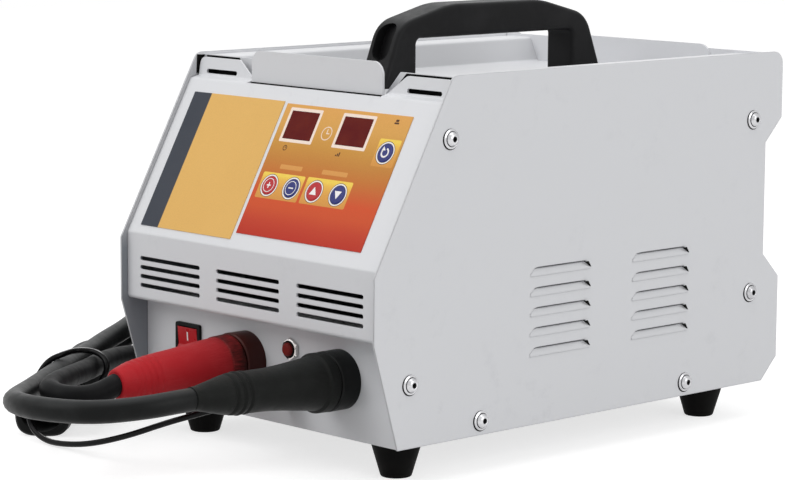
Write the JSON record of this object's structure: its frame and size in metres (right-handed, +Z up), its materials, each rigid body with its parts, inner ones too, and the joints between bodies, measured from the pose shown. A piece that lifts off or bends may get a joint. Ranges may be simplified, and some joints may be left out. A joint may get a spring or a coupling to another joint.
{
  "type": "dent pulling welder",
  "caption": "Portable stud welder for pulling dents: grey steel case with a sloped control face, carry handle, cable plugs, pulling gun and ground magnet.",
  "frame": {"origin": "on the floor under the middle of the case, cords left out", "axes": "+Z up; -Y is the way the control face looks; +X is on the side of the black cable socket"},
  "size_m": [0.4656, 0.63, 0.294],
  "materials": {
    "case_grey": "light grey fine-texture powder coat, semi-gloss",
    "handle_black": "black moulded plastic, fine texture",
    "foot_rubber": "black moulded rubber",
    "stainless": "stainless screws and wire",
    "overlay_print": "printed film, ochre through orange to red",
    "label_print": "printed film, ochre with a slate stripe",
    "window_dark": "dark maroon display window",
    "key_red": "red key top",
    "key_blue": "blue key top",
    "board_green": "green circuit board",
    "black_plastic": "black moulded plastic",
    "signal_red": "red moulded plastic",
    "plug_red": "red moulded rubber sleeve",
    "plug_black": "black moulded rubber sleeve",
    "cable_black": "black flexible rubber jacket",
    "brass": "turned brass",
    "nut_chrome": "bright plated nut",
    "copper": "copper strip and enamelled winding",
    "core_iron": "varnished laminations",
    "zinc_steel": "zinc plated steel",
    "gun_black": "black moulded gun body"
  },
  "bodies": {
    "chassis": {"base_chassis": "case_grey", "right_side_panel": "case_grey", "left_side_panel": "case_grey", "front_panel": "case_grey", "connector_panel": "case_grey", "rear_panel": "case_grey", "top_cover": "case_grey", "carry_handle": "handle_black", "handle_screws": "stainless", "right_case_screws": "stainless", "left_case_screws": "stainless", "rubber_feet": "foot_rubber", "keypad_overlay": "overlay_print", "info_label": "label_print", "display_windows": "window_dark", "display_modules": "black_plastic", "control_board": "board_green", "board_standoffs": "zinc_steel", "key_switches": "black_plastic", "rocker_frame": "black_plastic", "breaker_body": "black_plastic", "breaker_nut": "nut_chrome", "red_socket": "black_plastic", "black_socket": "black_plastic", "socket_cores": "brass", "lead_socket": "black_plastic", "red_plug": "plug_red", "black_plug": "plug_black", "lead_plug": "black_plastic", "plug_pins": "brass", "transformer_core": "core_iron", "primary_winding": "copper", "secondary_winding": "copper", "transformer_bracket": "zinc_steel", "output_busbars": "copper", "thyristor_module": "black_plastic", "fan_frame": "black_plastic", "fan_guard": "stainless", "fan_screws": "stainless", "mains_gland": "black_plastic", "ground_cable": "cable_black", "ground_coil": "cable_black", "gun_cable": "cable_black", "gun_coil": "cable_black", "control_lead": "cable_black", "lead_coil": "cable_black", "gun_body": "gun_black", "gun_chuck": "brass", "ground_magnet": "zinc_steel", "ground_lug": "copper"},
    "time_plus_button": {"time_plus_button": "key_red"},
    "time_minus_button": {"time_minus_button": "key_blue"},
    "power_up_button": {"power_up_button": "key_red"},
    "power_down_button": {"power_down_button": "key_blue"},
    "cycle_button": {"cycle_button": "key_blue"},
    "rocker": {"rocker_button": "signal_red"},
    "breaker_reset": {"breaker_button": "signal_red"},
    "fan": {"fan_rotor": "black_plastic"},
    "trigger": {"gun_trigger": "signal_red"}
  },
  "joints": [
    {"name": "time_plus_button_press", "type": "slide", "parent": "chassis", "child": "time_plus_button", "axis": [0, 0.8763, -0.4818], "range_m": [0, 0.0006], "stiffness_N_per_m": 300},
    {"name": "time_minus_button_press", "type": "slide", "parent": "chassis", "child": "time_minus_button", "axis": [0, 0.8763, -0.4818], "range_m": [0, 0.0006], "stiffness_N_per_m": 300},
    {"name": "power_up_button_press", "type": "slide", "parent": "chassis", "child": "power_up_button", "axis": [0, 0.8763, -0.4818], "range_m": [0, 0.0006], "stiffness_N_per_m": 300},
    {"name": "power_down_button_press", "type": "slide", "parent": "chassis", "child": "power_down_button", "axis": [0, 0.8763, -0.4818], "range_m": [0, 0.0006], "stiffness_N_per_m": 300},
    {"name": "cycle_button_press", "type": "slide", "parent": "chassis", "child": "cycle_button", "axis": [0, 0.8763, -0.4818], "range_m": [0, 0.0006], "stiffness_N_per_m": 300},
    {"name": "power_rocker", "type": "hinge", "parent": "chassis", "child": "rocker", "pos_m": [-0.08, -0.17275, 0.0644], "axis": [1, 0, 0], "range_deg": [0, 20]},
    {"name": "breaker_push", "type": "slide", "parent": "chassis", "child": "breaker_reset", "axis": [0, 1, 0], "range_m": [0, 0.004], "stiffness_N_per_m": 200},
    {"name": "fan_spin", "type": "hinge", "parent": "chassis", "child": "fan", "pos_m": [0, 0.165, 0.13], "axis": [0, 1, 0], "continuous": true},
    {"name": "trigger_pull", "type": "slide", "parent": "chassis", "child": "trigger", "axis": [0.7572, 0.6532, 0], "range_m": [0, 0.0025], "stiffness_N_per_m": 400}
  ]
}
